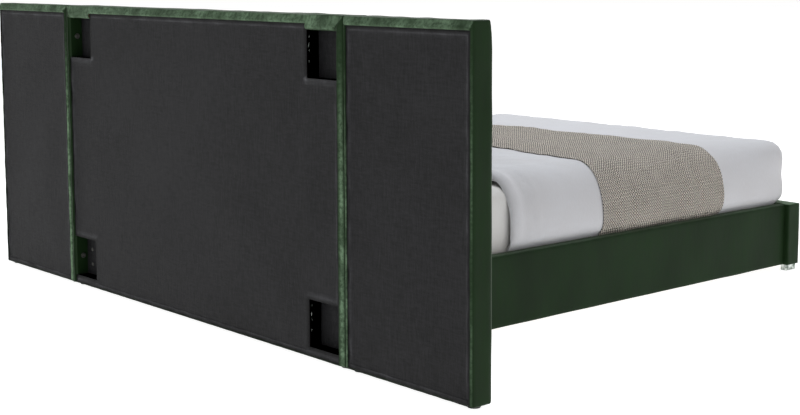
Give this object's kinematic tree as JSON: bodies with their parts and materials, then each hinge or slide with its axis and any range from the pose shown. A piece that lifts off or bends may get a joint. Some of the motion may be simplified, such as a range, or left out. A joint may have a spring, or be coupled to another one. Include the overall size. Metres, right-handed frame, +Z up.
{
  "type": "upholstered headboard bed",
  "caption": "Queen-size bed with a wide velvet headboard in bolted sections, velvet rails and footboard on metal blocks, slats, mattress and bedding.",
  "frame": {"origin": "middle of the bed's footprint, on the floor", "axes": "+Z up, +Y towards the headboard's back, +X to the left of a person lying on the bed face up"},
  "size_m": [2.746, 2.285, 1.052],
  "materials": {
    "velvet": "matte",
    "dust_cloth": "matte",
    "timber": "matte",
    "panel_board": "matte",
    "foam": "matte",
    "black_plastic": "matte",
    "polished_metal": "polished",
    "zinc_steel": "satin",
    "black_steel": "satin",
    "mattress_ticking": "matte",
    "sheet_cotton": "matte",
    "coverlet_cotton": "matte",
    "throw_knit": "matte"
  },
  "bodies": {
    "bed_frame": {"beam_cups": "black_steel", "bracket_bolts": "zinc_steel", "bracket_nuts": "zinc_steel", "centre_access_blocks": "timber", "centre_beam": "timber", "centre_bottom_rail": "timber", "centre_dust_cover": "dust_cloth", "centre_face_board": "panel_board", "centre_foam_pad": "foam", "centre_left_stile": "timber", "centre_right_stile": "timber", "centre_studs": "timber", "centre_top_rail": "timber", "centre_velvet_cover": "velvet", "clamp_bolts": "zinc_steel", "clamp_tnuts": "zinc_steel", "clamp_washers": "zinc_steel", "foot_blocks": "polished_metal", "footboard_foam": "foam", "footboard_inner_board": "panel_board", "footboard_rails": "timber", "footboard_stiles": "timber", "footboard_velvet_cover": "velvet", "headboard_glides": "black_plastic", "headboard_packers": "timber", "ledgers": "timber", "left_rail_board": "timber", "left_rail_cover": "velvet", "left_wing_bottom_rail": "timber", "left_wing_dust_cover": "dust_cloth", "left_wing_face_board": "panel_board", "left_wing_foam_pad": "foam", "left_wing_left_stile": "timber", "left_wing_right_stile": "timber", "left_wing_top_rail": "timber", "left_wing_velvet_cover": "velvet", "leg_inserts": "zinc_steel", "rail_brackets": "black_steel", "rail_foams": "foam", "right_rail_board": "timber", "right_rail_cover": "velvet", "right_wing_bottom_rail": "timber", "right_wing_dust_cover": "dust_cloth", "right_wing_face_board": "panel_board", "right_wing_foam_pad": "foam", "right_wing_left_stile": "timber", "right_wing_right_stile": "timber", "right_wing_top_rail": "timber", "right_wing_velvet_cover": "velvet", "slats": "timber", "support_legs": "timber", "wood_screws": "zinc_steel"},
    "bedding": {"mattress": "mattress_ticking", "fitted_sheet": "sheet_cotton", "coverlet": "coverlet_cotton", "throw": "throw_knit"},
    "levelling_foot_foot": {"levelling_foot_foot": "zinc_steel"},
    "levelling_foot_head": {"levelling_foot_head": "zinc_steel"},
    "levelling_foot_middle": {"levelling_foot_middle": "zinc_steel"}
  },
  "joints": [
    {"name": "mattress_lift", "type": "slide", "parent": "bed_frame", "child": "bedding", "axis": [0, 0, 1], "range_m": [0, 0.3]},
    {"name": "levelling_foot_foot_screw", "type": "slide", "parent": "bed_frame", "child": "levelling_foot_foot", "axis": [0, 0, 1], "range_m": [0, 0.012]},
    {"name": "levelling_foot_head_screw", "type": "slide", "parent": "bed_frame", "child": "levelling_foot_head", "axis": [0, 0, 1], "range_m": [0, 0.012]},
    {"name": "levelling_foot_middle_screw", "type": "slide", "parent": "bed_frame", "child": "levelling_foot_middle", "axis": [0, 0, 1], "range_m": [0, 0.012]}
  ]
}
